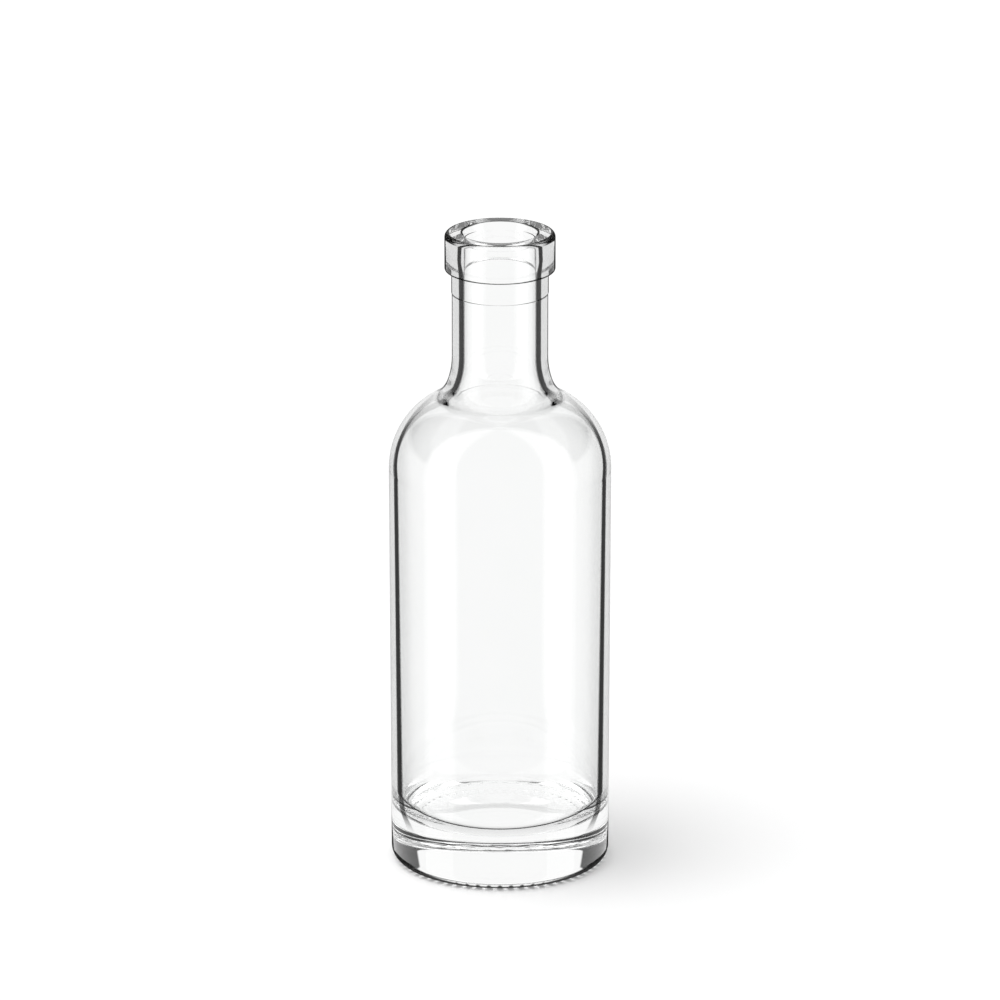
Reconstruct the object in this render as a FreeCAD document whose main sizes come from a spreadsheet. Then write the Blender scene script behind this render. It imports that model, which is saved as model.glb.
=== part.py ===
"""A clear glass bottle with a cork finish: one moulded piece of glass, hollow, with a heavy foot.

Millimetres, +Z up, origin on the axis in the plane that the bottle stands on. The glass is turned
from its outer profile, then hollowed by its cavity and, under the foot, by its push-up.
"""

import FreeCAD, Part
import math
import os

import Sketcher

# Driving dimensions: name, millimetres or a count, meaning.
SIZES = (
    ("foot_diameter", 65.1, "outside of the body just above the heel"),
    ("shoulder_diameter", 66.1, "outside of the body where the shoulder starts"),
    ("body_height", 122.2, "from the standing plane to the start of the shoulder"),
    ("heel_radius", 4.0, "rounding between the body and the bearing ring"),
    ("shoulder_radius", 24.5, "convex arc of the shoulder, in section"),
    ("neck_diameter", 28.5, "outside of the straight neck"),
    ("flare_lead_width", 1.3, "how far the neck spreads along the slow upper arc"),
    ("flare_lead_radius", 23.0, "slow arc where the neck starts to spread"),
    ("flare_root_radius", 10.0, "tight arc at the foot of the neck"),
    ("neck_length", 26.6, "straight neck below the collar"),
    ("seam_drop", 6.8, "from the collar down to the neck-ring seam"),
    ("seam_step", 0.15, "how far the glass above the seam stands proud"),
    ("collar_diameter", 32.8, "outside of the finish"),
    ("collar_height", 11.5, "height of the finish"),
    ("lip_radius", 1.4, "rounding of the lip's outer edge"),
    ("collar_bevel", 0.5, "bevel of the collar's lower edge"),
    ("bore_diameter", 21.4, "straight bore that takes the stopper"),
    ("mouth_diameter", 22.6, "opening at the top of the lead-in"),
    ("mouth_depth", 2.2, "depth of the lead-in"),
    ("bore_root_radius", 8.0, "tight arc at the foot of the bore"),
    ("shoulder_wall", 2.45, "wall at the shoulder"),
    ("foot_wall", 2.95, "wall just above the cavity's bottom corner"),
    ("base_thickness", 15.0, "solid glass under the cavity floor"),
    ("cavity_corner_radius", 8.0, "rounding between the cavity wall and its floor"),
    ("push_up_diameter", 48.0, "inner edge of the bearing ring"),
    ("push_up_height", 0.5, "rise of the underside at the axis"),
)

CUTTER_OVERSHOOT = 1.0  # how far the cavity's cutter stands above the lip

# Ends of a sketch's edges, and the numbers of its origin.
START, END, CENTRE = range(1, 4)
ORIGIN = (-1, START)
VERTICAL_AXIS = -2

doc = FreeCAD.newDocument("bottle")
sheet = doc.addObject("Spreadsheet::Sheet", "Sizes")


def fill_sheet():
    """Writes the driving dimensions to the sheet, one to a row."""
    for row, (name, value, meaning) in enumerate(SIZES, start=1):
        sheet.set(f"A{row}", meaning)
        sheet.set(f"B{row}", str(value))
        sheet.setAlias(f"B{row}", name)
    doc.recompute()


def size(name):
    """The value of a driving dimension."""
    return float(sheet.get(name))


def on_circle(centre, radius, degrees):
    """A point of a circle."""
    angle = math.radians(degrees)
    return centre[0] + radius * math.cos(angle), centre[1] + radius * math.sin(angle)


class Profile:
    """A half section: a sketch on the body's XZ plane, with dimensions bound to the sheet.

    Its x is the distance from the bottle's axis and its y the height.
    """

    def __init__(self, body, name):
        self.sketch = body.newObject("Sketcher::SketchObject", name)
        plane = next(f for f in body.Origin.OriginFeatures if f.Role == "XZ_Plane")
        self.sketch.AttachmentSupport = [(plane, "")]
        self.sketch.MapMode = "FlatFace"

    def line(self, start, end):
        """Draws a straight edge and returns its number."""
        edge = Part.LineSegment(FreeCAD.Vector(*start, 0), FreeCAD.Vector(*end, 0))
        return self.sketch.addGeometry(edge, False)

    def arc(self, centre, radius, first, last):
        """Draws an arc, counter-clockwise between two angles in degrees, and returns its number."""
        circle = Part.Circle(FreeCAD.Vector(*centre, 0), FreeCAD.Vector(0, 0, 1), radius)
        edge = Part.ArcOfCircle(circle, math.radians(first), math.radians(last))
        return self.sketch.addGeometry(edge, False)

    def tie(self, kind, *where):
        """Adds a constraint that has no value."""
        self.sketch.addConstraint(Sketcher.Constraint(kind, *where))

    def join(self, *ends):
        """Ties pairs of ends, each a kind of joint, an edge's end and another edge's end."""
        for kind, first, second in ends:
            self.tie(kind, *first, *second)

    def measure(self, name, kind, *where):
        """Adds a dimension with a name and returns its number."""
        index = self.sketch.addConstraint(Sketcher.Constraint(kind, *where))
        self.sketch.renameConstraint(index, name)
        return index

    def drive(self, name, expression, kind, *where):
        """Adds a dimension and binds it to the sheet."""
        self.measure(name, kind, *where)
        self.sketch.setExpression(f"Constraints.{name}", expression)

    def drive_radius(self, name, expression, edge):
        """Drives the radius of an arc."""
        self.drive(name, expression, "Radius", edge, self.sketch.Geometry[edge].Radius)

    def drive_out(self, name, expression, end):
        """Drives how far an end lies from the bottle's axis."""
        self.drive(name, expression, "DistanceX", *ORIGIN, *end, self.drawn(end).x)

    def drive_up(self, name, expression, low, high):
        """Drives how far one end lies above another."""
        rise = self.drawn(high).y - self.drawn(low).y
        self.drive(name, expression, "DistanceY", *low, *high, rise)

    def read_up(self, name, low, high):
        """Adds a dimension that only reads how far one end lies above another."""
        rise = self.drawn(high).y - self.drawn(low).y
        index = self.measure(name, "DistanceY", *low, *high, rise)
        self.sketch.setDriving(index, False)

    def drawn(self, end):
        """Where an end was drawn."""
        if end == ORIGIN:
            return FreeCAD.Vector()
        edge = self.sketch.Geometry[end[0]]
        return edge.StartPoint if end[1] == START else edge.EndPoint

    def turn(self, body, kind, name):
        """Turns the profile about the bottle's axis, to add glass or to take it away."""
        feature = body.newObject(kind, name)
        feature.Profile = self.sketch
        feature.ReferenceAxis = (self.sketch, ["V_Axis"])
        feature.Angle = 360.0
        doc.recompute()


def draw_shoulder(profile, rim, radius, neck, lead_width, lead_radius, root_radius):
    """Draws a shoulder's arc in from its rim, then a tight and a slow arc up to a straight neck.

    Each arc is tangent to the next. Returns their numbers and the place where the neck starts.
    """
    centre = (rim[0] - radius, rim[1])
    lead = math.degrees(math.acos(1 - lead_width / lead_radius))
    root_out = neck + lead_width + root_radius * math.cos(math.radians(lead))
    root = math.degrees(math.acos((root_out - centre[0]) / (radius + root_radius)))
    root_centre = on_circle(centre, radius + root_radius, root)
    joint = on_circle(root_centre, root_radius, 180 + lead)
    lead_centre = on_circle(joint, lead_radius, lead)
    dome_arc = profile.arc(centre, radius, 0, root)
    root_arc = profile.arc(root_centre, root_radius, 180 + lead, 180 + root)
    lead_arc = profile.arc(lead_centre, lead_radius, 180, 180 + lead)
    profile.tie("Tangent", dome_arc, END, root_arc, END)
    profile.tie("Tangent", lead_arc, END, root_arc, START)
    return dome_arc, root_arc, lead_arc, (neck, lead_centre[1])


def add_outside(body):
    """The outside: bearing ring, heel, body, shoulder, neck with its seam, collar and lip."""
    foot = size("foot_diameter") / 2
    shoulder = size("shoulder_diameter") / 2
    neck = size("neck_diameter") / 2
    collar = size("collar_diameter") / 2
    heel_radius = size("heel_radius")
    seam_step = size("seam_step")
    bevel_width = size("collar_bevel")
    lip_radius = size("lip_radius")
    body_top = size("body_height")

    profile = Profile(body, "outer_profile")
    bottom = profile.line((0, 0), (foot - heel_radius, 0))
    heel = profile.arc((foot - heel_radius, heel_radius), heel_radius, -90, 0)
    side = profile.line((foot, heel_radius), (shoulder, body_top))
    dome, root, lead, neck_start = draw_shoulder(
        profile,
        (shoulder, body_top),
        size("shoulder_radius"),
        neck,
        size("flare_lead_width"),
        size("flare_lead_radius"),
        size("flare_root_radius"),
    )
    collar_foot = neck_start[1] + size("neck_length")
    collar_top = collar_foot + size("collar_height")
    seam_height = collar_foot - size("seam_drop")
    neck_side = profile.line(neck_start, (neck, seam_height - seam_step))
    seam = profile.line((neck, seam_height - seam_step), (neck + seam_step, seam_height))
    ring_side = profile.line((neck + seam_step, seam_height), (neck + seam_step, collar_foot))
    bevel_foot = (collar - bevel_width, collar_foot)
    bevel_top = (collar, collar_foot + bevel_width)
    ledge = profile.line((neck + seam_step, collar_foot), bevel_foot)
    bevel = profile.line(bevel_foot, bevel_top)
    collar_side = profile.line(bevel_top, (collar, collar_top - lip_radius))
    lip = profile.arc((collar - lip_radius, collar_top - lip_radius), lip_radius, 0, 90)
    top = profile.line((collar - lip_radius, collar_top), (0, collar_top))
    axis = profile.line((0, collar_top), (0, 0))

    profile.join(
        ("Coincident", (bottom, START), ORIGIN),
        ("Tangent", (bottom, END), (heel, START)),
        ("Tangent", (heel, END), (side, START)),
        ("Tangent", (side, END), (dome, START)),
        ("Tangent", (lead, START), (neck_side, START)),
        ("Coincident", (neck_side, END), (seam, START)),
        ("Coincident", (seam, END), (ring_side, START)),
        ("Coincident", (ring_side, END), (ledge, START)),
        ("Coincident", (ledge, END), (bevel, START)),
        ("Coincident", (bevel, END), (collar_side, START)),
        ("Tangent", (collar_side, END), (lip, START)),
        ("Tangent", (lip, END), (top, START)),
        ("Coincident", (top, END), (axis, START)),
        ("Coincident", (axis, END), (bottom, START)),
    )
    for edge_number in (bottom, ledge, top):
        profile.tie("Horizontal", edge_number)
    for edge_number in (neck_side, ring_side, collar_side, axis):
        profile.tie("Vertical", edge_number)

    profile.drive_radius("heel", "Sizes.heel_radius", heel)
    profile.drive_radius("dome", "Sizes.shoulder_radius", dome)
    profile.drive_radius("root", "Sizes.flare_root_radius", root)
    profile.drive_radius("lead", "Sizes.flare_lead_radius", lead)
    profile.drive_radius("lip", "Sizes.lip_radius", lip)
    profile.drive_out("foot", "Sizes.foot_diameter / 2", (side, START))
    profile.drive_out("shoulder", "Sizes.shoulder_diameter / 2", (side, END))
    profile.drive_out("lead_end", "Sizes.neck_diameter / 2 + Sizes.flare_lead_width", (lead, END))
    profile.drive_out("neck", "Sizes.neck_diameter / 2", (neck_side, END))
    profile.drive_out("ring", "Sizes.neck_diameter / 2 + Sizes.seam_step", (ring_side, START))
    profile.drive_out("ledge", "Sizes.collar_diameter / 2 - Sizes.collar_bevel", (ledge, END))
    profile.drive_out("collar", "Sizes.collar_diameter / 2", (collar_side, START))
    profile.drive_up("body", "Sizes.body_height", ORIGIN, (side, END))
    profile.drive_up("neck_run", "Sizes.neck_length", (lead, START), (ledge, START))
    profile.drive_up("seam_fall", "Sizes.seam_drop", (ring_side, START), (ring_side, END))
    profile.drive_up("seam_rise", "Sizes.seam_step", (seam, START), (seam, END))
    profile.drive_up("bevel_rise", "Sizes.collar_bevel", (bevel, START), (bevel, END))
    profile.drive_up("collar_rise", "Sizes.collar_height", (ledge, START), (top, START))
    profile.read_up("lip_height", ORIGIN, (top, START))
    profile.turn(body, "PartDesign::Revolution", "outside")
    return collar_top


def add_cavity(body, lip_height):
    """The hollow: floor, rounded corner, wall, inner shoulder, bore and the mouth's lead-in."""
    foot = size("foot_diameter") / 2 - size("foot_wall")
    shoulder = size("shoulder_diameter") / 2 - size("shoulder_wall")
    bore = size("bore_diameter") / 2
    mouth = size("mouth_diameter") / 2
    corner_radius = size("cavity_corner_radius")
    dome_radius = size("shoulder_radius") - size("shoulder_wall")
    neck_wall = size("neck_diameter") / 2 - bore
    lead_radius = size("flare_lead_radius") + neck_wall
    lead_width = size("flare_lead_width") * lead_radius / size("flare_lead_radius")
    floor_height = size("base_thickness")
    body_top = size("body_height")
    cutter_top = lip_height + CUTTER_OVERSHOOT

    profile = Profile(body, "cavity_profile")
    floor = profile.line((0, floor_height), (foot - corner_radius, floor_height))
    corner_centre = (foot - corner_radius, floor_height + corner_radius)
    corner = profile.arc(corner_centre, corner_radius, -90, 0)
    wall = profile.line((foot, corner_centre[1]), (shoulder, body_top))
    dome, root, lead, bore_start = draw_shoulder(
        profile,
        (shoulder, body_top),
        dome_radius,
        bore,
        lead_width,
        lead_radius,
        size("bore_root_radius"),
    )
    bore_top = lip_height - size("mouth_depth")
    bore_side = profile.line(bore_start, (bore, bore_top))
    lead_in = profile.line((bore, bore_top), (mouth, lip_height))
    mouth_side = profile.line((mouth, lip_height), (mouth, cutter_top))
    top = profile.line((mouth, cutter_top), (0, cutter_top))
    axis = profile.line((0, cutter_top), (0, floor_height))

    profile.join(
        ("Tangent", (floor, END), (corner, START)),
        ("Tangent", (corner, END), (wall, START)),
        ("Tangent", (wall, END), (dome, START)),
        ("Tangent", (lead, START), (bore_side, START)),
        ("Coincident", (bore_side, END), (lead_in, START)),
        ("Coincident", (lead_in, END), (mouth_side, START)),
        ("Coincident", (mouth_side, END), (top, START)),
        ("Coincident", (top, END), (axis, START)),
        ("Coincident", (axis, END), (floor, START)),
    )
    for edge_number in (floor, top):
        profile.tie("Horizontal", edge_number)
    for edge_number in (bore_side, mouth_side, axis):
        profile.tie("Vertical", edge_number)
    profile.tie("PointOnObject", floor, START, VERTICAL_AXIS)

    wall_of_neck = "(Sizes.neck_diameter - Sizes.bore_diameter) / 2"
    slow_radius = f"Sizes.flare_lead_radius + {wall_of_neck}"
    slow_width = f"Sizes.flare_lead_width * ({slow_radius}) / Sizes.flare_lead_radius"
    lip = "outer_profile.Constraints.lip_height / 1 mm"
    profile.drive_radius("corner", "Sizes.cavity_corner_radius", corner)
    profile.drive_radius("dome", "Sizes.shoulder_radius - Sizes.shoulder_wall", dome)
    profile.drive_radius("root", "Sizes.bore_root_radius", root)
    profile.drive_radius("lead", slow_radius, lead)
    profile.drive_out("foot", "Sizes.foot_diameter / 2 - Sizes.foot_wall", (wall, START))
    profile.drive_out("shoulder", "Sizes.shoulder_diameter / 2 - Sizes.shoulder_wall", (wall, END))
    profile.drive_out("lead_end", f"Sizes.bore_diameter / 2 + {slow_width}", (lead, END))
    profile.drive_out("bore", "Sizes.bore_diameter / 2", (bore_side, END))
    profile.drive_out("mouth", "Sizes.mouth_diameter / 2", (mouth_side, START))
    profile.drive_up("floor", "Sizes.base_thickness", ORIGIN, (floor, START))
    profile.drive_up("body", "Sizes.body_height", ORIGIN, (wall, END))
    profile.drive_up("bore_top", f"{lip} - Sizes.mouth_depth", ORIGIN, (bore_side, END))
    profile.drive_up("mouth_top", lip, ORIGIN, (mouth_side, START))
    profile.drive_up("cutter_top", f"{lip} + {CUTTER_OVERSHOOT}", ORIGIN, (top, START))
    profile.turn(body, "PartDesign::Groove", "cavity")


def add_push_up(body):
    """The shallow dome under the foot, which leaves a bearing ring to stand on."""
    rim = size("push_up_diameter") / 2
    rise = size("push_up_height")
    radius = (rim * rim + rise * rise) / (2 * rise)
    centre = (0, rise - radius)
    edge_angle = math.degrees(math.atan2(-centre[1], rim))

    profile = Profile(body, "push_up_profile")
    plane = profile.line((0, 0), (rim, 0))
    dome = profile.arc(centre, radius, edge_angle, 90)
    axis = profile.line((0, rise), (0, 0))
    profile.join(
        ("Coincident", (plane, START), ORIGIN),
        ("Coincident", (plane, END), (dome, START)),
        ("Coincident", (dome, END), (axis, START)),
        ("Coincident", (axis, END), (plane, START)),
    )
    profile.tie("Horizontal", plane)
    profile.tie("Vertical", axis)
    profile.tie("PointOnObject", dome, CENTRE, VERTICAL_AXIS)
    profile.drive_out("rim", "Sizes.push_up_diameter / 2", (plane, END))
    profile.drive_up("rise", "Sizes.push_up_height", ORIGIN, (dome, END))
    profile.turn(body, "PartDesign::Groove", "push_up")


def make_bottle():
    """The whole bottle, as one body."""
    body = doc.addObject("PartDesign::Body", "bottle")
    body.Label = "bottle"
    lip_height = add_outside(body)
    volumes = [body.Shape.Volume]
    add_cavity(body, lip_height)
    volumes.append(body.Shape.Volume)
    add_push_up(body)
    volumes.append(body.Shape.Volume)
    for name, before, after in zip(("cavity", "push_up"), volumes, volumes[1:]):
        if not after < before:
            raise RuntimeError(f"the {name} cut nothing")
    print("brimful capacity, ml:", round((volumes[0] - volumes[1]) / 1000, 1))
    return body


def check(parts):
    """Stops if a feature failed or a part has no sound solid."""
    failed = [o.Name for o in doc.Objects if {"Invalid", "Error"} & set(o.State)]
    if failed:
        raise RuntimeError(f"failed: {failed}")
    for part in parts:
        if part.Shape.isNull() or not part.Shape.isValid() or len(part.Shape.Solids) != 1:
            raise RuntimeError(f"{part.Label} is not one sound solid")


def write(parts):
    """Writes each part to a file of its own."""
    os.makedirs("parts", exist_ok=True)
    for part in parts:
        part.Shape.exportStep(f"parts/{part.Label}.step")
        box = part.Shape.optimalBoundingBox()
        print(part.Label, [round(v, 3) for v in (box.XLength, box.YLength, box.ZLength)])


fill_sheet()
bottle = make_bottle()
check([bottle])
write([bottle])
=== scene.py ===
"""A clear glass bottle with a cork finish, and the bright studio that it stands in.

Metres, +Z up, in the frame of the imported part. The glass is drawn as a half section, spun into one
closed shape and notched along its bearing ring.
"""

import math

import bmesh
import bpy
from bpy.props import FloatProperty, FloatVectorProperty, IntProperty, PointerProperty
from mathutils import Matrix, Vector, geometry, kdtree


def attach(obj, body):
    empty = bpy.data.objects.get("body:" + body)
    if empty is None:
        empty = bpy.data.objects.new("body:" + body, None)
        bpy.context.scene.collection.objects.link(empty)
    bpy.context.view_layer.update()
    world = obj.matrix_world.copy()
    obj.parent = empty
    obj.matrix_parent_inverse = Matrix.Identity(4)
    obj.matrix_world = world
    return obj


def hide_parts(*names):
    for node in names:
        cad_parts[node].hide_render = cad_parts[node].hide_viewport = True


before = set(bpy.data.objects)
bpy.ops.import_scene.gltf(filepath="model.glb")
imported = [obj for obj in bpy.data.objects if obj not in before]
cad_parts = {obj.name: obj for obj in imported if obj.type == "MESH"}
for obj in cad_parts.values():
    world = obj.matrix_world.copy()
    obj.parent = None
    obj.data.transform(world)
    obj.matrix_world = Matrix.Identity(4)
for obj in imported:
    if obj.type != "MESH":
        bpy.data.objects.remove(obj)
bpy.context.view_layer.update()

bl_info = {
    "name": "Glass bottle",
    "version": (1, 0, 0),
    "blender": (4, 5, 0),
    "location": "3D View > Sidebar > Bottle",
    "description": "Models a clear glass bottle and the studio that it stands in",
    "category": "Mesh",
}

MM = 0.001
WHITE = (1.0, 1.0, 1.0, 1.0)
BLACK = (0.0, 0.0, 0.0, 1.0)

# How finely the glass is drawn
DEGREES_PER_ROW = 4.0  # turn along an arc of the section from one row to the next
COLUMNS_PER_NOTCH = 5  # columns of faces from one notch of the knurl to the next
LONG_LINE = 5.0 * MM  # straight lines of the section are cut into rows no longer than this
SUPPORT = 0.25 * MM  # from the end of such a line to its support row
PUSH_UP_ROWS = 6  # rows from the middle of the underside out to the bearing ring
NOTCH_ROWS = (0.0, 0.12, 0.25, 0.5, 0.75, 1.0)  # shares of a notch's reach that have a row
FLOOR_ROWS = (0.25, 0.5, 0.75)  # shares of the way out over the cavity floor that have a row
WELD = 1e-7  # points nearer than this are one
SPIN_WELD = 20 * WELD  # and these are one after the spin
NO_AREA = 1e-14  # three points that span less than this, in square metres, are on one line
LEVEL = 0.01  # a line of the section that rises by less than this share of its length is level

# The painted shade of the glass's dark lines: a wall is a share of its radius, and a view is 0 straight on
# and 1 along it
SOLID = 0.4  # wall from which the glass looks solid
DARKEST = 0.95  # how dark the painted shade of an outline or of a notch gets
OUTLINE_FADE = 0.25  # share of the outline in which it darkens
OUTLINE_WALL = 0.3  # wall from which the outline is at its darkest
OUTLINE_FOOT = 0.3  # share of its width that the outline keeps at the floor, between the dashes
NOTCH_SHADE_TAPER = 1.6  # the painted shadow of a notch ends at one part in this of a notch's width beside its middle
NOTCH_SHADE_FADE = (0.25, 0.5)  # where the painted shadow of a notch starts and where it is at its darkest
THIN_WALLS = (0.12, 0.2)  # wall up to which the line over the inner wall shows, and from which it is gone
THIN_LEVEL = 0.75  # how dark that line gets
THIN_WIDTH = 0.095  # how much of the view it takes
THIN_SOFT = 0.015  # half the width of its soft edge
THICK_WALLS = (0.25, 0.35)  # wall from which the mirror's line starts late, and from which it is latest
MIRROR_DELAY = 0.045  # how much later that is
MIRROR_WIDTH = 0.36  # how much wider the mirror's line is on a thicker wall
MIRROR_TRIM = 0.01  # how much narrower it is on any wall
MIRROR_SOFT = 0.15  # half the width of its soft edge, as a share of the line
GREY_START = 0.12  # view from which painted grey shade starts on the inner wall on the way to the mirror's line
GREY_LEVEL = 0.25  # how dark that painted grey gets

# The moulded surface of the glass
STREAK_SCALE = 30.0  # streaks in a metre
STREAK_DETAIL = 3.0
STREAK_FADE = (0.35, 0.65)  # where a pale streak starts and where it is full
RIPPLE_SCALE = 45.0  # ripples in a metre
RIPPLE_DETAIL = 1.0
ROUGHEST = 0.006  # roughness of the dullest streak

# The studio
TENT_SEGMENTS = 48
TENT_RINGS = 24
PAPER_SIDES = 96
PAPER_DROP = 0.3 * MM  # how far the lit paper is below the foot
SENSOR_WIDTH = 36.0  # of the camera, in millimetres
SIGHT = 100.0  # how far the camera sees, in metres
GLASS_BOUNCES = 24
GLOSS_BOUNCES = 12


def length(name, millimetres, description):
    """A length that a user may change."""
    return FloatProperty(
        name=name,
        description=description,
        default=millimetres * MM,
        precision=5,
        unit="LENGTH",
    )


def angle(name, degrees, description):
    """An angle that a user may change."""
    return FloatProperty(
        name=name,
        description=description,
        default=math.radians(degrees),
        subtype="ANGLE",
        unit="ROTATION",
    )


def level(name, default, description):
    """A plain number that a user may change."""
    return FloatProperty(name=name, description=description, default=default, precision=4)


def colour(name, default, description):
    """A colour that a user may change."""
    return FloatVectorProperty(
        name=name,
        description=description,
        default=default,
        size=4,
        min=0.0,
        max=1.0,
        subtype="COLOR",
    )


class BottleSizes(bpy.types.PropertyGroup):
    """Finish of the glass, and the painted shade along its edges and in its notches."""

    foot_diameter: length("Foot", 65.1, "Outside of the body just above the heel")
    shoulder_diameter: length("Shoulder", 66.1, "Outside of the body where the shoulder starts")
    body_height: length("Body height", 122.2, "From the floor to the start of the shoulder")
    heel_radius: length("Heel", 4.0, "Rounding between the body and the bearing ring")
    shoulder_radius: length("Shoulder arc", 24.5, "Convex arc of the shoulder")
    neck_diameter: length("Neck", 28.5, "Outside of the straight neck")
    flare_lead_width: length("Slow flare", 1.3, "How far the neck spreads along the slow arc")
    flare_lead_radius: length("Slow arc", 23.0, "Arc where the neck starts to spread")
    flare_root_radius: length("Tight arc", 10.0, "Arc at the foot of the neck")
    neck_length: length("Neck length", 26.6, "Straight neck below the collar")
    seam_drop: length("Seam", 6.8, "From the collar down to the neck-ring seam")
    seam_step: length("Seam step", 0.15, "How far the glass above the seam stands proud")
    collar_diameter: length("Collar", 32.8, "Outside of the finish")
    collar_height: length("Collar height", 11.5, "Height of the finish")
    collar_edge_radius: length("Collar edge", 0.7, "Rounding of the collar's lower edge")
    ledge_radius: length("Ledge", 0.5, "Fillet between the collar and the neck")
    lip_radius: length("Lip", 1.4, "Rounding of the lip's outer edge")
    mouth_radius: length("Lip inside", 0.5, "Rounding of the lip's inner edge")
    bore_diameter: length("Bore", 21.4, "Straight bore that takes the stopper")
    mouth_diameter: length("Mouth", 22.6, "Opening at the top of the lead-in")
    mouth_depth: length("Lead-in", 2.2, "Depth of the lead-in")
    bore_root_radius: length("Bore arc", 8.0, "Tight arc at the foot of the bore")
    shoulder_wall: length("Shoulder wall", 2.45, "Wall at the shoulder")
    foot_wall: length("Foot wall", 2.95, "Wall just above the cavity's bottom corner")
    base_thickness: length("Base", 15.0, "Solid glass under the cavity floor")
    cavity_corner_radius: length("Cavity corner", 8.0, "Rounding between the wall and the cavity floor")
    push_up_diameter: length("Push-up", 48.0, "Inner edge of the bearing ring")
    push_up_height: length("Push-up rise", 0.5, "Rise of the underside at the axis")
    notch_count: IntProperty(
        name="Notches", description="Notches round the bearing ring", default=60, min=3
    )
    notch_width: length("Notch width", 2.1, "Width of a notch where it opens to the floor")
    notch_height: length("Notch height", 0.3, "Height of a notch's crown")
    notch_reach: length("Notch reach", 0.2, "How far a notch runs in from the heel")


class BottleGlass(bpy.types.PropertyGroup):
    """Finish of the glass."""

    body_tint: colour("Tint", (0.985, 0.99, 0.988, 1.0), "Colour of the glass")
    pale_tint: colour("Pale tint", (0.995, 0.997, 0.996, 1.0), "Colour of its clearer streaks")
    shade_tint: colour("Shade", (0.62, 0.62, 0.62, 1.0), "What one face lets through to the floor")
    index: level("Refraction", 1.5, "Index of refraction")
    ripple_depth: length("Ripple", 0.002, "Depth of the moulded glass's faint ripple")
    # Width of the painted dark outline where the glass is solid
    edge_width: length("Edge", 0.75, "Width of the dark edge where the glass is solid")
    # How far the painted shadow of a notch shows up the heel
    notch_shade_height: length("Dash height", 3.0, "How far the dark dash of a notch shows up the heel")


class BottleStudio(bpy.types.PropertyGroup):
    """Camera, floor and light."""

    camera_height: angle("Camera tilt", 17.9, "How far the camera looks down")
    camera_distance: length("Camera distance", 2824.0, "From the camera to the aim point")
    camera_lens: FloatProperty(name="Lens", description="Focal length, mm", default=342.0)
    aim_height: length("Aim height", 112.1, "Height on the axis that the camera looks at")
    floor_size: length("Floor", 14000.0, "Side of the floor")
    floor_colour: colour("Floor colour", (0.8, 0.8, 0.8, 1.0), "Colour of the floor")
    sky_level: level("Sky", 0.5, "Even light from all round")
    sun_level: level("Sun", 2.75, "Strength of the soft key light")
    sun_height: angle("Sun height", 74.0, "Height of the key light over the floor")
    sun_turn: angle("Sun turn", -67.0, "Key light's direction round the bottle")
    sun_spread: angle("Sun spread", 45.0, "Angular size of the key light")
    tent_level: level("Tent", 0.96, "Brightness of the tent that the glass sees")
    flag_level: level("Flags", 0.02, "Brightness of the tent's two dark flags")
    flag_start: angle("Flag start", 38.5, "From straight behind round to a flag's far edge")
    flag_end: angle("Flag end", 92.0, "From straight behind round to a flag's near edge")
    flag_foot: angle("Flag foot", 12.0, "From the horizon up to a flag's lower edge")
    soft_edge: angle("Soft edge", 1.0, "Half the width of the soft edge of a flag or a panel")
    panel_level: level("Panels", 1.7, "Brightness of the tent's two lit panels")
    panel_start: angle("Panel start", 94.0, "From straight behind round to a panel's far edge")
    panel_end: angle("Panel end", 129.0, "From straight behind round to a panel's near edge")


class Signal:
    """A number on a node's socket, with arithmetic that adds Math nodes."""

    def __init__(self, graph, socket):
        self.graph = graph
        self.socket = socket

    def math(self, operation, *terms):
        """A Math node on this number or on the given terms."""
        node = self.graph.node("ShaderNodeMath", {"operation": operation}, *(terms or (self,)))
        return Signal(self.graph, node.outputs[0])

    def __add__(self, other):
        return self.math("ADD", self, other)

    __radd__ = __add__

    def __sub__(self, other):
        return self.math("SUBTRACT", self, other)

    def __rsub__(self, other):
        return self.math("SUBTRACT", other, self)

    def __mul__(self, other):
        return self.math("MULTIPLY", self, other)

    __rmul__ = __mul__

    def __abs__(self):
        return self.math("ABSOLUTE")

    def rise(self, low, high):
        """0 below low, 1 above high and a smooth step between."""
        settings = {"interpolation_type": "SMOOTHSTEP"}
        node = self.graph.node("ShaderNodeMapRange", settings, self, low, high, 0.0, 1.0)
        return Signal(self.graph, node.outputs[0])


class Graph:
    """The nodes of a material or of the world."""

    def __init__(self, owner):
        owner.use_nodes = True
        self.tree = owner.node_tree
        self.tree.nodes.clear()

    def node(self, kind, settings=None, *values, **named):
        """Adds a node, sets it up, then sets or links its inputs in order or by name."""
        node = self.tree.nodes.new(kind)
        for key, value in (settings or {}).items():
            setattr(node, key, value)
        for key, value in [*enumerate(values), *named.items()]:
            self.feed(node.inputs[key.replace("_", " ") if isinstance(key, str) else key], value)
        return node

    def feed(self, socket, value):
        """Links a socket, or sets its value."""
        if isinstance(value, Signal):
            value = value.socket
        if isinstance(value, bpy.types.NodeSocket):
            self.tree.links.new(value, socket)
        else:
            socket.default_value = value

    def blend(self, share, first, second):
        """A colour between two others."""
        node = self.node("ShaderNodeMix", {"data_type": "RGBA"}, Factor=share)
        self.feed(node.inputs[6], first)
        self.feed(node.inputs[7], second)
        return node.outputs[2]

    def signal(self, node, output=0):
        """One output of a node as a number to reckon with."""
        return Signal(self, node.outputs[output])


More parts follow.
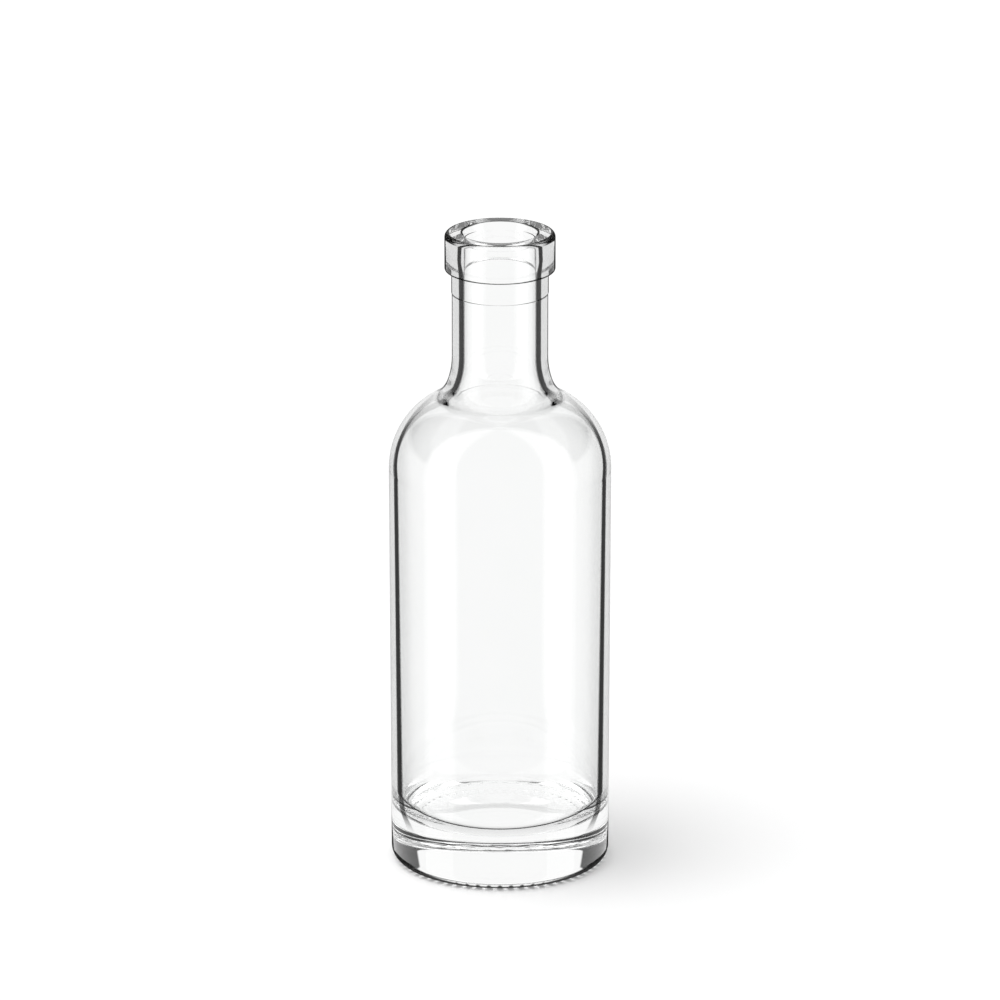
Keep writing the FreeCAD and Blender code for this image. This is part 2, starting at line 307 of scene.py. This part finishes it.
class Section:
    """A half section, as points: distance from the axis, height."""

    def __init__(self, start):
        self.points = [start]

    def line(self, *ends):
        """Straight on to each end."""
        self.points.extend(ends)

    def arc(self, centre, radius, first, last):
        """Round an arc between two angles in radians, and straight to its start where it isn't there."""
        rows = max(2, math.ceil(abs(math.degrees(last - first)) / DEGREES_PER_ROW))
        for row in range(rows + 1):
            point = on_circle(centre, radius, first + (last - first) * row / rows)
            if math.dist(point, self.points[-1]) > WELD:
                self.points.append(point)

    def corner(self, at, towards, radius):
        """Straight on to a corner, and round it in the direction of another point."""
        back = (Vector(self.points[-1]) - Vector(at)).normalized()
        on = (Vector(towards) - Vector(at)).normalized()
        half = back.angle(on) / 2
        centre = Vector(at) + (back + on).normalized() * (radius / math.sin(half))
        start = Vector(at) + back * (radius / math.tan(half)) - centre
        end = Vector(at) + on * (radius / math.tan(half)) - centre
        first = math.atan2(start.y, start.x)
        turn = math.remainder(math.atan2(end.y, end.x) - first, math.tau)
        self.arc(tuple(centre), radius, first, first + turn)


def supported(points):
    """The same chain with rows along its long lines, and one near each end to keep the shading straight."""
    chain = points[:1]
    for start, end in zip(points, points[1:]):
        gap = math.dist(start, end)
        rows = math.ceil(gap / LONG_LINE)
        if rows > 1:
            shares = [SUPPORT / gap, *(row / rows for row in range(1, rows)), 1 - SUPPORT / gap]
            chain.extend(tuple(Vector(start).lerp(Vector(end), share)) for share in shares)
        chain.append(end)
    return chain


def on_circle(centre, radius, turn):
    """A point of a circle."""
    return centre[0] + radius * math.cos(turn), centre[1] + radius * math.sin(turn)


def direction(start, end):
    """The angle of the line from one point to another."""
    return math.atan2(end[1] - start[1], end[0] - start[0])


class Shoulder:
    """The dome of a shoulder and the two arcs from it up to a neck, each tangent to the next."""

    def __init__(self, rim, taper, radius, neck, lead_width, lead_radius, root_radius):
        self.taper = taper
        self.radius = radius
        self.lead_radius = lead_radius
        self.root_radius = root_radius
        self.centre = on_circle(rim, radius, math.pi - taper)
        self.lead = math.acos(1 - lead_width / lead_radius)
        root_out = neck + lead_width + root_radius * math.cos(self.lead)
        self.root = math.acos((root_out - self.centre[0]) / (radius + root_radius))
        self.root_centre = on_circle(self.centre, radius + root_radius, self.root)
        joint = on_circle(self.root_centre, root_radius, math.pi + self.lead)
        self.lead_centre = on_circle(joint, lead_radius, self.lead)
        self.neck_start = (neck, self.lead_centre[1])

    def drawn_up(self, section):
        """Draws from the rim up to the neck."""
        section.arc(self.centre, self.radius, -self.taper, self.root)
        section.arc(self.root_centre, self.root_radius, math.pi + self.root, math.pi + self.lead)
        section.arc(self.lead_centre, self.lead_radius, math.pi + self.lead, math.pi)


def outer_section(sizes):
    """The outside from the middle of the underside up to the top of the lip."""
    foot = sizes.foot_diameter / 2
    shoulder = sizes.shoulder_diameter / 2
    neck = sizes.neck_diameter / 2
    collar = sizes.collar_diameter / 2
    rim = sizes.push_up_diameter / 2
    rise = sizes.push_up_height
    heel = sizes.heel_radius
    taper = math.atan2(shoulder - foot, sizes.body_height - heel)
    dome = Shoulder(
        (shoulder, sizes.body_height),
        taper,
        sizes.shoulder_radius,
        neck,
        sizes.flare_lead_width,
        sizes.flare_lead_radius,
        sizes.flare_root_radius,
    )
    collar_foot = dome.neck_start[1] + sizes.neck_length
    lip = collar_foot + sizes.collar_height
    seam = collar_foot - sizes.seam_drop
    ring = neck + sizes.seam_step

    push_up = (rim**2 + rise**2) / (2 * rise)
    push_up_centre = (0.0, rise - push_up)
    heel_centre = (foot - heel * math.cos(taper), heel)
    section = Section((0.0, rise))
    middle = math.pi / 2
    edge = direction(push_up_centre, (rim, 0.0))
    for row in range(1, PUSH_UP_ROWS + 1):
        turn = middle + (edge - middle) * row / PUSH_UP_ROWS
        section.line(on_circle(push_up_centre, push_up, turn))
    notch_start = heel_centre[0] - sizes.notch_reach
    for share in NOTCH_ROWS:
        section.line((notch_start + share * sizes.notch_reach, 0.0))
    section.arc(heel_centre, heel, -math.pi / 2, -taper)
    dome.drawn_up(section)
    section.line((neck, seam - sizes.seam_step), (ring, seam))
    section.corner((ring, collar_foot), (collar, collar_foot), sizes.ledge_radius)
    section.corner((collar, collar_foot), (collar, lip), sizes.collar_edge_radius)
    section.corner((collar, lip), (0.0, lip), sizes.lip_radius)
    return section, lip


def cavity_section(sizes, lip):
    """The inside from the middle of the floor up to the mouth."""
    foot = sizes.foot_diameter / 2 - sizes.foot_wall
    shoulder = sizes.shoulder_diameter / 2 - sizes.shoulder_wall
    bore = sizes.bore_diameter / 2
    mouth = sizes.mouth_diameter / 2
    corner = sizes.cavity_corner_radius
    floor = sizes.base_thickness
    lead_radius = sizes.flare_lead_radius + sizes.neck_diameter / 2 - bore
    taper = math.atan2(shoulder - foot, sizes.body_height - floor - corner)
    dome = Shoulder(
        (shoulder, sizes.body_height),
        taper,
        sizes.shoulder_radius - sizes.shoulder_wall,
        bore,
        sizes.flare_lead_width * lead_radius / sizes.flare_lead_radius,
        lead_radius,
        sizes.bore_root_radius,
    )
    corner_centre = (foot - corner * math.cos(taper), floor + corner)
    section = Section((0.0, floor))
    for share in FLOOR_ROWS:
        section.line((corner_centre[0] * share, floor))
    section.arc(corner_centre, corner, -math.pi / 2, -taper)
    dome.drawn_up(section)
    section.corner((bore, lip - sizes.mouth_depth), (mouth, lip), sizes.mouth_depth / 2)
    section.corner((mouth, lip), (sizes.collar_diameter / 2, lip), sizes.mouth_radius)
    return section


def spun_glass(name, points, columns):
    """Draws a chain of points by extruding, and spins it about the axis into one closed shape."""
    bpy.ops.object.select_all(action="DESELECT")
    bpy.ops.mesh.primitive_plane_add(size=1.0)
    piece = bpy.context.object
    piece.name = name
    piece.data.name = name
    bpy.ops.object.mode_set(mode="EDIT")
    bpy.ops.mesh.select_all(action="SELECT")
    bpy.ops.mesh.merge(type="CENTER")
    bpy.ops.transform.translate(value=(points[0][0], 0.0, points[0][1]))
    for here, there in zip(points, points[1:]):
        step = (there[0] - here[0], 0.0, there[1] - here[1])
        bpy.ops.mesh.extrude_vertices_move(TRANSFORM_OT_translate={"value": step})
    bpy.ops.mesh.select_all(action="SELECT")
    bpy.ops.mesh.spin(steps=columns, angle=math.tau, center=(0, 0, 0), axis=(0, 0, 1))
    bpy.ops.mesh.select_all(action="SELECT")
    bpy.ops.mesh.remove_doubles(threshold=SPIN_WELD)
    bpy.ops.mesh.normals_make_consistent(inside=False)
    bpy.ops.mesh.faces_shade_smooth()
    bpy.ops.object.mode_set(mode="OBJECT")
    return piece


def press_notches(piece, sizes):
    """Lifts the edge of the bearing ring into round-headed notches, all round at once."""
    columns = sizes.notch_count * COLUMNS_PER_NOTCH
    inner = sizes.foot_diameter / 2 - sizes.heel_radius - sizes.notch_reach
    bpy.ops.object.mode_set(mode="EDIT")
    mesh = bmesh.from_edit_mesh(piece.data)
    rows = {}
    for vertex in mesh.verts:
        reach = math.hypot(vertex.co.x, vertex.co.y)
        if vertex.co.z < sizes.notch_height and reach > inner:
            column = round(math.atan2(vertex.co.y, vertex.co.x) / math.tau * columns)
            phase = column % COLUMNS_PER_NOTCH
            phase = min(phase, COLUMNS_PER_NOTCH - phase)
            row = (round(reach / WELD), round(vertex.co.z / WELD), phase)
            rows.setdefault(row, []).append(vertex)
    for (reach, height, phase), vertices in rows.items():
        reach, height = reach * WELD, height * WELD
        aside = reach * phase * math.tau / columns
        crown = sizes.notch_height * (1 - (2 * aside / sizes.notch_width) ** 2)
        crown *= min(1.0, 2 * (reach - inner) / sizes.notch_reach)
        if crown > height:
            bpy.ops.mesh.select_all(action="DESELECT")
            for vertex in vertices:
                vertex.select = True
            mesh.select_flush(True)
            bpy.ops.transform.translate(value=(0.0, 0.0, crown - height))
    bpy.ops.object.mode_set(mode="OBJECT")


def section_radius(before, here, after):
    """How tightly a section bends at a point: the radius of the circle through it and its neighbours."""
    sides = math.dist(before, here), math.dist(here, after), math.dist(after, before)
    out, up = here[0] - before[0], here[1] - before[1]
    far_out, far_up = after[0] - before[0], after[1] - before[1]
    area = abs(out * far_up - far_out * up)
    return math.prod(sides) / (2 * area) if area > NO_AREA else math.inf


def distance_to(chain, point):
    """How far a point is from a chain of points."""
    nearest = math.inf
    for start, end in zip(chain, chain[1:]):
        share = geometry.intersect_point_line(point, start, end)[1]
        foot = Vector(start).lerp(Vector(end), min(max(share, 0.0), 1.0))
        nearest = min(nearest, math.dist(foot, point))
    return nearest


def mark(piece, name, values):
    """Keeps a number for each point of a mesh."""
    kept = piece.data.attributes.new(name, "FLOAT", "POINT")
    kept.data.foreach_set("value", values)


def mark_notch_shade(piece, sizes, finish):
    """Marks where painted shadow darkens the notches, as dark dashes at the foot of the heel."""
    inner = sizes.foot_diameter / 2 - sizes.heel_radius
    notch_shades = []
    for vertex in piece.data.vertices:
        reach = math.hypot(vertex.co.x, vertex.co.y)
        turn = math.atan2(vertex.co.y, vertex.co.x) / math.tau * sizes.notch_count
        aside = abs(turn - round(turn)) * math.tau * reach / sizes.notch_count
        notch_shade = max(0.0, 1 - (NOTCH_SHADE_TAPER * aside / sizes.notch_width) ** 2)
        notch_shade *= max(0.0, 1 - vertex.co.z / finish.notch_shade_height)
        notch_shades.append(notch_shade if reach > inner else 0.0)
    mark(piece, "notch_shade", notch_shades)


def mark_walls(piece, outside, inside, finish):
    """Marks how thick the wall is, where its painted dark outline starts, and how upright it is inside and
    outside.
    """
    points = outside + inside
    walls, edges, rims, skins = [], [], [], []
    tree = kdtree.KDTree(len(points))
    for number, here in enumerate(points):
        tree.insert((*here, 0.0), number)
        inner = number >= len(outside)
        thickness = distance_to(outside if inner else inside, here)
        reach = here[0] + (thickness if inner else 0.0)
        wall = min(thickness / max(reach, MM), SOLID)
        before, after = points[max(number - 1, 0)], points[min(number + 1, len(points) - 1)]
        upright = abs(after[1] - before[1]) / math.dist(after, before)
        width = finish.edge_width * (wall / SOLID) ** 2
        width *= min(1.0, OUTLINE_FOOT + max(here[1], 0.0) / finish.notch_shade_height)
        round_axis = here[0] / upright if upright > LEVEL else math.inf
        bend = max(min(section_radius(before, here, after), round_axis), 2 * width)
        walls.append(wall)
        edges.append(1 - math.sqrt(1 - (1 - width / bend) ** 2))
        rims.append(upright**2 if inner else 0.0)
        skins.append(0.0 if inner else upright**2)
    tree.balance()
    nearest = [tree.find((math.hypot(v.co.x, v.co.y), v.co.z, 0.0))[1] for v in piece.data.vertices]
    for name, values in (("wall", walls), ("edge", edges), ("rim", rims), ("skin", skins)):
        mark(piece, name, [values[number] for number in nearest])


def band(signal, start, end, soft):
    """1 between two values and 0 outside them, with soft edges."""
    return signal.rise(start - soft, start + soft) * (1 - signal.rise(end - soft, end + soft))


def painted_edge_shade(graph, finish):
    """Painted shade of the glass: how dark it is along its outline, in its notches and where its inner wall
    turns to a mirror.
    """
    grazing = graph.signal(graph.node("ShaderNodeLayerWeight", {}, 0.5), "Facing")
    leaving = graph.signal(graph.node("ShaderNodeNewGeometry"), "Backfacing")
    wall, edge, rim, skin, notch_shade = (
        graph.signal(graph.node("ShaderNodeAttribute", {"attribute_name": name}), "Fac")
        for name in ("wall", "edge", "rim", "skin", "notch_shade")
    )
    outline = grazing.rise(edge, edge * (1 - OUTLINE_FADE) + OUTLINE_FADE)
    outline = outline * wall.rise(0.0, OUTLINE_WALL) * DARKEST
    # Painted shadow in the notches
    outline = outline.math("MAXIMUM", outline, notch_shade.rise(*NOTCH_SHADE_FADE) * DARKEST)

    # A painted dark line where a straight line of sight through the outside at this view only touches the
    # inner wall
    over = 1 - wall.math("SQRT", wall * (2 - wall))
    thin = skin * (1 - wall.rise(*THIN_WALLS)) * THIN_LEVEL
    outline = outline.math("MAXIMUM", outline, band(grazing, over, over + THIN_WIDTH, THIN_SOFT) * thin)

    # From this view on, the inner wall reflects all the light that comes to it in the glass; a painted dark
    # line starts there, with painted grey shade before it
    mirror = 1 - math.sqrt(1 - 1 / finish.index**2)
    start = mirror + wall.rise(*THICK_WALLS) * MIRROR_DELAY
    end = mirror - MIRROR_TRIM + wall * MIRROR_WIDTH
    line = band(grazing, start, end, (end - start) * MIRROR_SOFT)
    painted_grey = grazing.rise(GREY_START, mirror)
    return (1 - leaving) * outline + leaving * rim * (line + painted_grey * painted_grey * GREY_LEVEL)


def bottle_glass(finish):
    """Clear moulded glass: a faint ripple, paler streaks, a finish that is not quite even, and painted
    shade along its edges and in its notches.
    """
    material = bpy.data.materials.new("bottle_glass")
    graph = Graph(material)
    place = graph.node("ShaderNodeTexCoord").outputs["Object"]
    streaks = graph.signal(
        graph.node("ShaderNodeTexNoise", {}, Vector=place, Scale=STREAK_SCALE, Detail=STREAK_DETAIL)
    )
    ripple = graph.signal(
        graph.node("ShaderNodeTexNoise", {}, Vector=place, Scale=RIPPLE_SCALE, Detail=RIPPLE_DETAIL)
    )
    tint = graph.blend(streaks.rise(*STREAK_FADE), finish.body_tint, finish.pale_tint)
    bump = graph.node(
        "ShaderNodeBump",
        {},
        Strength=1.0,
        Distance=finish.ripple_depth,
        Height=ripple,
    )
    # The coat paints shade: with an index of 1 it has no gloss of its own, so only its dark tint shows
    glass = graph.node(
        "ShaderNodeBsdfPrincipled",
        {},
        Base_Color=tint,
        Roughness=streaks * ROUGHEST,
        IOR=finish.index,
        Transmission_Weight=1.0,
        Coat_Weight=painted_edge_shade(graph, finish),
        Coat_IOR=1.0,
        Coat_Roughness=0.0,
        Coat_Tint=BLACK,
        Normal=bump.outputs[0],
    )
    shade = graph.node("ShaderNodeBsdfTransparent", {}, Color=finish.shade_tint)
    rays = graph.node("ShaderNodeLightPath")
    seen = graph.node(
        "ShaderNodeMixShader",
        {},
        rays.outputs["Is Shadow Ray"],
        glass.outputs[0],
        shade.outputs[0],
    )
    graph.node("ShaderNodeOutputMaterial", {}, Surface=seen.outputs[0])
    return material


class BOTTLE_OT_glass(bpy.types.Operator):
    """Model the bottle in place of the plain solid"""

    bl_idname = "bottle.glass"
    bl_label = "Glass"

    def execute(self, context):
        sizes = context.scene.bottle_sizes
        outside, lip = outer_section(sizes)
        cavity = cavity_section(sizes, lip)
        outer = supported(outside.points)
        inner = supported(cavity.points[::-1])
        piece = spun_glass("glass_bottle", outer + inner, sizes.notch_count * COLUMNS_PER_NOTCH)
        press_notches(piece, sizes)
        mark_notch_shade(piece, sizes, context.scene.bottle_glass)
        mark_walls(piece, outer, inner, context.scene.bottle_glass)
        piece.data.materials.append(bottle_glass(context.scene.bottle_glass))
        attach(piece, "root")
        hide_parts("bottle")
        return {"FINISHED"}


def pale_floor(studio):
    """Plain matt floor."""
    material = bpy.data.materials.new("pale_floor")
    graph = Graph(material)
    matt = graph.node(
        "ShaderNodeBsdfPrincipled",
        {},
        Base_Color=studio.floor_colour,
        Roughness=1.0,
        Specular_IOR_Level=0.0,
    )
    graph.node("ShaderNodeOutputMaterial", {}, Surface=matt.outputs[0])
    return material


def glowing(material, graph, shine):
    """Finishes a material that the glass sees lit, and that is no lamp."""
    glow = graph.node("ShaderNodeEmission", {}, Color=WHITE, Strength=shine)
    graph.node("ShaderNodeOutputMaterial", {}, Surface=glow.outputs[0])
    material.cycles.emission_sampling = "NONE"
    return material


def light_tent(studio):
    """What the glass sees all round: a bright tent, two dark flags behind and a lit panel on each side."""
    material = bpy.data.materials.new("light_tent")
    graph = Graph(material)
    place = graph.node("ShaderNodeTexCoord").outputs["Object"]
    parts = graph.node("ShaderNodeSeparateXYZ", {}, place)
    right, ahead, up = (graph.signal(parts, number) for number in range(3))
    turn = abs(right.math("ARCTAN2", right, ahead))
    soft = studio.soft_edge
    height = up.math("ARCTAN2", up, right.math("SQRT", right * right + ahead * ahead))
    flag = band(turn, studio.flag_start, studio.flag_end, soft)
    flag = flag * height.rise(studio.flag_foot - soft / 2, studio.flag_foot + soft / 2)
    panel = band(turn, studio.panel_start, studio.panel_end, soft)
    shine = studio.tent_level + (studio.panel_level - studio.tent_level) * panel
    shine = shine * (1 - flag * (1 - studio.flag_level))
    return glowing(material, graph, shine)


def lit_paper(studio):
    """What the glass sees of the floor right under it."""
    material = bpy.data.materials.new("lit_paper")
    return glowing(material, Graph(material), studio.tent_level)


def only_for_glass(piece):
    """Keeps a lit piece of the studio out of the picture and its light off the floor."""
    piece.visible_camera = False
    piece.visible_diffuse = False
    piece.visible_shadow = False


class BOTTLE_OT_stage(bpy.types.Operator):
    """Set up the floor, the light and the camera"""

    bl_idname = "bottle.stage"
    bl_label = "Stage"

    def execute(self, context):
        scene = context.scene
        studio = scene.bottle_studio
        bpy.ops.object.select_all(action="DESELECT")
        bpy.ops.mesh.primitive_plane_add(size=studio.floor_size)
        floor = context.object
        floor.name = "floor"
        floor.data.materials.append(pale_floor(studio))
        floor.visible_transmission = False
        floor.visible_glossy = False

        bpy.ops.object.select_all(action="DESELECT")
        bpy.ops.mesh.primitive_uv_sphere_add(
            segments=TENT_SEGMENTS,
            ring_count=TENT_RINGS,
            radius=studio.floor_size / 2,
        )
        tent = context.object
        tent.name = "light_tent"
        tent.data.materials.append(light_tent(studio))
        only_for_glass(tent)

        bpy.ops.object.select_all(action="DESELECT")
        bpy.ops.mesh.primitive_circle_add(
            vertices=PAPER_SIDES,
            radius=scene.bottle_sizes.foot_diameter / 2,
            fill_type="NGON",
            location=(0, 0, -PAPER_DROP),
        )
        paper = context.object
        paper.name = "lit_paper"
        paper.data.materials.append(lit_paper(studio))
        only_for_glass(paper)

        world = bpy.data.worlds.new("sky")
        scene.world = world
        graph = Graph(world)
        sky = graph.node("ShaderNodeBackground", {}, Color=WHITE, Strength=studio.sky_level)
        graph.node("ShaderNodeOutputWorld", {}, Surface=sky.outputs[0])

        bpy.ops.object.light_add(type="SUN")
        sun = context.object
        sun.name = "key_light"
        sun.data.energy = studio.sun_level
        sun.data.angle = studio.sun_spread
        sun.rotation_euler = (math.pi / 2 - studio.sun_height, 0.0, studio.sun_turn)

        bpy.ops.object.camera_add()
        camera = context.object
        camera.name = "camera"
        camera.data.lens = studio.camera_lens
        camera.data.sensor_width = SENSOR_WIDTH
        camera.data.clip_end = SIGHT
        tilt = studio.camera_height
        aim = Vector((0.0, 0.0, studio.aim_height))
        back = Vector((0.0, -math.cos(tilt), math.sin(tilt)))
        camera.location = aim + back * studio.camera_distance
        camera.rotation_euler = (math.pi / 2 - tilt, 0.0, 0.0)
        scene.camera = camera
        scene.view_settings.view_transform = "Standard"
        scene.cycles.max_bounces = GLASS_BOUNCES
        scene.cycles.transmission_bounces = GLASS_BOUNCES
        scene.cycles.glossy_bounces = GLOSS_BOUNCES
        return {"FINISHED"}


class BOTTLE_PT_panel(bpy.types.Panel):
    """Lists the pieces and their sizes"""

    bl_label = "Glass bottle"
    bl_space_type = "VIEW_3D"
    bl_region_type = "UI"
    bl_category = "Bottle"

    def draw(self, context):
        layout = self.layout
        layout.operator(BOTTLE_OT_glass.bl_idname)
        layout.operator(BOTTLE_OT_stage.bl_idname)
        for group in (context.scene.bottle_sizes, context.scene.bottle_glass, context.scene.bottle_studio):
            box = layout.box()
            for name in group.__annotations__:
                box.prop(group, name)


CLASSES = (
    BottleSizes,
    BottleGlass,
    BottleStudio,
    BOTTLE_OT_glass,
    BOTTLE_OT_stage,
    BOTTLE_PT_panel,
)


def register():
    """Adds the classes and their settings."""
    for cls in CLASSES:
        bpy.utils.register_class(cls)
    bpy.types.Scene.bottle_sizes = PointerProperty(type=BottleSizes)
    bpy.types.Scene.bottle_glass = PointerProperty(type=BottleGlass)
    bpy.types.Scene.bottle_studio = PointerProperty(type=BottleStudio)


def unregister():
    """Takes the settings and the classes away again."""
    del bpy.types.Scene.bottle_studio
    del bpy.types.Scene.bottle_glass
    del bpy.types.Scene.bottle_sizes
    for cls in reversed(CLASSES):
        bpy.utils.unregister_class(cls)


def main():
    """Builds everything in order."""
    register()
    bpy.ops.bottle.glass()
    bpy.ops.bottle.stage()


if __name__ == "__main__":
    main()
